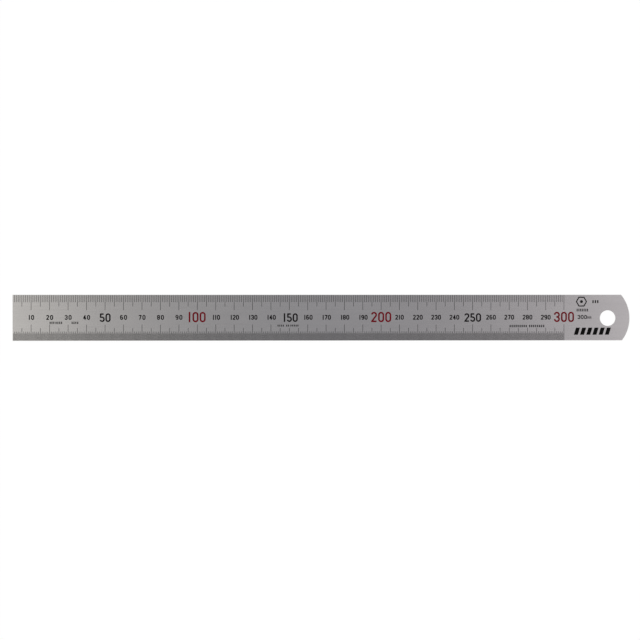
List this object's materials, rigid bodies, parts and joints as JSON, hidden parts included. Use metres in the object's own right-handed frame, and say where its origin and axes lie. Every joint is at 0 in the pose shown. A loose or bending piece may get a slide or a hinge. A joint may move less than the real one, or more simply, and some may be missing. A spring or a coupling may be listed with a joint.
{
  "type": "steel ruler",
  "caption": "Flat stainless steel ruler with engraved, enamel-filled millimetre and half-millimetre scales, one square zero end, and one round end with a hanging hole.",
  "frame": {"origin": "the back face, at the middle of the square zero end, so that x is the reading on the scale", "axes": "+X along the scale from the zero end to the round end, +Y across the blade to the edge with the whole-millimetre scale, +Z out of the graduated face"},
  "size_m": [0.336, 0.025, 0.001],
  "materials": {
    "stainless_steel": "satin",
    "black_enamel": "satin",
    "red_enamel": "satin"
  },
  "bodies": {
    "root": {"blade": "stainless_steel", "upper_1mm_marks": "black_enamel", "upper_5mm_marks": "black_enamel", "upper_10mm_marks": "black_enamel", "lower_half_mm_marks": "black_enamel", "lower_1mm_marks": "black_enamel", "lower_5mm_marks": "black_enamel", "lower_10mm_marks": "black_enamel", "tens_numerals": "black_enamel", "fifties_numerals": "black_enamel", "size_legend": "black_enamel", "hexagon_mark": "black_enamel", "slanted_bars": "black_enamel", "small_print_dashes": "black_enamel", "hundreds_numerals": "red_enamel"}
  },
  "joints": []
}
